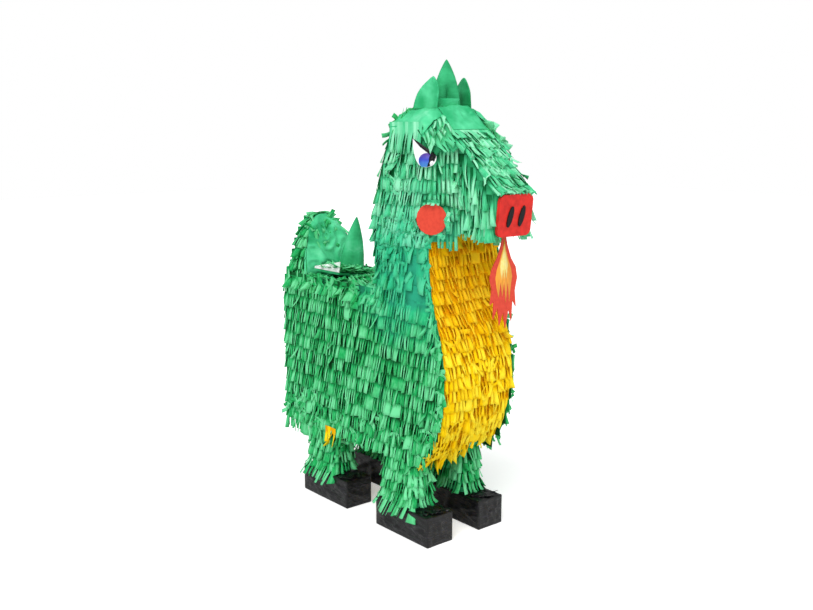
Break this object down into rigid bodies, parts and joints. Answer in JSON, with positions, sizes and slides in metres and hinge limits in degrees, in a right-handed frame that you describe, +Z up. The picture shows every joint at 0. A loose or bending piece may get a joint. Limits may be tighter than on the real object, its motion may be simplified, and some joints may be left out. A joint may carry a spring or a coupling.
{
  "type": "dragon pinata",
  "caption": "Free-standing hollow cardboard dragon covered in crepe-paper fringe, with a hinged fill flap on its back and a hanging flame card.",
  "frame": {"origin": "on the floor, under the middle of the whole object", "axes": "+Z up, -Y the way the dragon faces, +X towards its left"},
  "size_m": [0.1426, 0.4106, 0.5993],
  "materials": {
    "crepe_green": "matte crepe",
    "paper_green": "smooth paper",
    "crepe_yellow": "matte crepe",
    "crepe_black": "matte crepe",
    "card_red": "printed card",
    "card_black": "printed card",
    "card_coral": "printed card",
    "card_flame": "printed card",
    "card_white": "printed paper",
    "corrugated_board": "raw board"
  },
  "bodies": {
    "body": {"flank_panel_left": "corrugated_board", "flank_panel_right": "corrugated_board", "chest_panel": "corrugated_board", "nape_panel": "corrugated_board", "rump_panel": "corrugated_board", "belly_panel": "corrugated_board", "back_panel": "corrugated_board", "hanger_plate": "corrugated_board", "crown_panel": "corrugated_board", "chin_panel": "corrugated_board", "bridge_panel": "corrugated_board", "cheek_panel_left": "corrugated_board", "cheek_panel_right": "corrugated_board", "snout_side_left": "corrugated_board", "snout_side_right": "corrugated_board", "nose_plate": "card_red", "nostril_left": "card_black", "nostril_right": "card_black", "head_horn": "paper_green", "ear_left": "paper_green", "ear_right": "paper_green", "front_foot_left": "crepe_black", "front_foot_right": "crepe_black", "front_leg_left": "corrugated_board", "front_leg_right": "corrugated_board", "front_leg_fringe_left": "crepe_green", "front_leg_fringe_right": "crepe_green", "rear_foot_left": "crepe_black", "rear_foot_right": "crepe_black", "rear_leg_left": "corrugated_board", "rear_leg_right": "corrugated_board", "rear_leg_fringe_left": "crepe_green", "rear_leg_fringe_right": "crepe_green", "tail_front_panel": "corrugated_board", "tail_back_panel": "corrugated_board", "tail_rim": "corrugated_board", "tail_side_fringe": "crepe_green", "tail_back_fringe": "crepe_green", "flank_fringe_left": "crepe_green", "flank_fringe_right": "crepe_green", "chest_fringe": "crepe_yellow", "rump_fringe": "crepe_green", "nape_fringe": "crepe_green", "belly_fringe": "crepe_yellow", "back_fringe": "crepe_green", "cheek_fringe_left": "crepe_green", "cheek_fringe_right": "crepe_green", "head_fringe_left": "crepe_green", "head_fringe_right": "crepe_green", "snout_fringe_left": "crepe_green", "snout_fringe_right": "crepe_green", "bridge_fringe": "crepe_green", "eye_left": "card_white", "eye_right": "card_white", "cheek_disc_left": "card_coral", "cheek_disc_right": "card_coral"},
    "fill_flap": {"fill_flap": "corrugated_board", "back_spike": "paper_green", "fill_label": "card_white"},
    "flame": {"flame_card": "card_flame"}
  },
  "joints": [
    {"name": "fill_flap_hinge", "type": "hinge", "parent": "body", "child": "fill_flap", "pos_m": [0.04275, 0.1168, 0.31], "axis": [0, 1, 0], "range_deg": [-8, 86]},
    {"name": "flame_swing", "type": "hinge", "parent": "body", "child": "flame", "pos_m": [0, -0.1847, 0.3931], "axis": [1, 0, 0], "range_deg": [-60, 20]}
  ]
}
